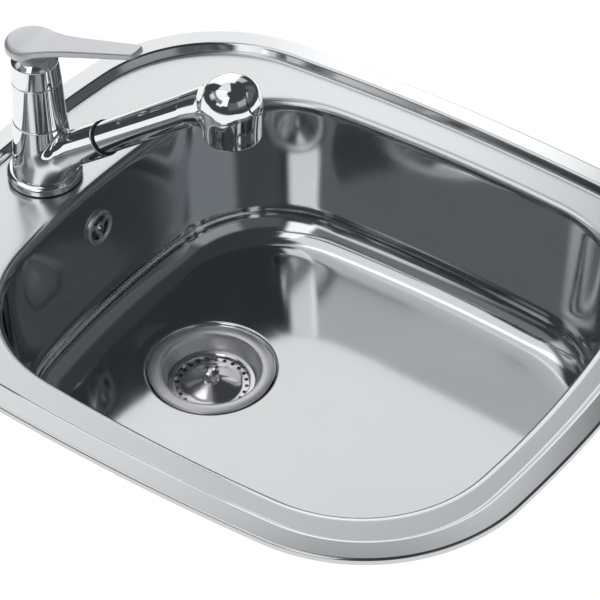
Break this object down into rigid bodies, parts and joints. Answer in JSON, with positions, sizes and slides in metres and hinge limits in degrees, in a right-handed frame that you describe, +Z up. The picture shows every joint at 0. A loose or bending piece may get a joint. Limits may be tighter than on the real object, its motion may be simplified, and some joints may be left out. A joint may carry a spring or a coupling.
{
  "type": "kitchen sink with mixer tap",
  "caption": "Inset stainless steel kitchen sink with one rounded bowl, basket strainer, overflow and a single-lever pull-out spray mixer.",
  "frame": {"origin": "middle of the worktop cut-out, in the plane of the worktop's upper face, where the rim's underside rests", "axes": "+Z up out of the worktop, +X to the sink's right, +Y to the back, where the tap stands"},
  "size_m": [0.4446, 0.5196, 0.3516],
  "materials": {
    "satin_steel": "satin, fine brushed grain",
    "polished_steel": "polished",
    "chrome": "bright chrome plating",
    "brass": "machined",
    "zinc_steel": "zinc plated",
    "black_rubber": "moulded",
    "seal_foam": "closed-cell foam",
    "white_plastic": "moulded polypropylene",
    "bearing_plastic": "machined acetal",
    "dark_plastic": "fine matt",
    "button_grey": "satin gloss"
  },
  "bodies": {
    "sink": {"sink_body": "satin_steel", "rim_seal": "seal_foam", "clip_brackets": "zinc_steel", "clip_arms": "zinc_steel", "clip_screws": "zinc_steel", "flange_seal": "black_rubber", "waste_flange": "polished_steel", "waste_gasket": "black_rubber", "waste_body": "white_plastic", "waste_tail": "white_plastic", "waste_nut": "brass", "waste_screw": "polished_steel", "overflow_rosette": "polished_steel", "overflow_screw": "polished_steel", "overflow_gasket": "black_rubber", "overflow_elbow": "white_plastic", "overflow_pipe": "white_plastic", "overflow_nuts": "white_plastic", "base_gasket": "black_rubber", "base_ring": "chrome", "inner_column": "brass", "swivel_bushes": "bearing_plastic", "cartridge_housing": "chrome", "cartridge": "white_plastic", "cartridge_nut": "brass", "dome_cap": "chrome", "deck_washer": "black_rubber", "clamp_plate": "zinc_steel", "mounting_stud": "brass", "stud_nut": "brass"},
    "basket": {"strainer_basket": "polished_steel", "basket_post": "polished_steel", "stopper_seal": "black_rubber"},
    "spout": {"spout_body": "chrome", "dock_sleeve": "dark_plastic"},
    "handset": {"handset_shell": "chrome", "spray_face": "dark_plastic", "aerator": "chrome"},
    "button": {"spray_button": "button_grey"},
    "stem": {"stem_guide": "bearing_plastic", "spindle_pin": "polished_steel"},
    "lever": {"spindle": "brass", "lever": "chrome", "lever_grub_screw": "zinc_steel", "index_plug": "button_grey"}
  },
  "joints": [
    {"name": "basket_lift", "type": "slide", "parent": "sink", "child": "basket", "axis": [0, 0, 1], "range_m": [0, 0.05]},
    {"name": "spout_swivel", "type": "hinge", "parent": "sink", "child": "spout", "pos_m": [-0.012, 0.205, 0.03], "axis": [0, 0, 1], "range_deg": [-60, 60]},
    {"name": "spray_pull_out", "type": "slide", "parent": "spout", "child": "handset", "axis": [0, -0.788, 0.6157], "range_m": [0, 0.036]},
    {"name": "spray_button_press", "type": "slide", "parent": "handset", "child": "button", "axis": [0, 0.9397, -0.342], "range_m": [0, 0.0015], "stiffness_N_per_m": 400},
    {"name": "lever_turn", "type": "hinge", "parent": "sink", "child": "stem", "pos_m": [-0.012, 0.205, 0.0904], "axis": [0, 0, 1], "range_deg": [-50, 50]},
    {"name": "lever_lift", "type": "hinge", "parent": "stem", "child": "lever", "pos_m": [-0.012, 0.205, 0.0904], "axis": [-1, 0, 0], "range_deg": [0, 22]}
  ]
}
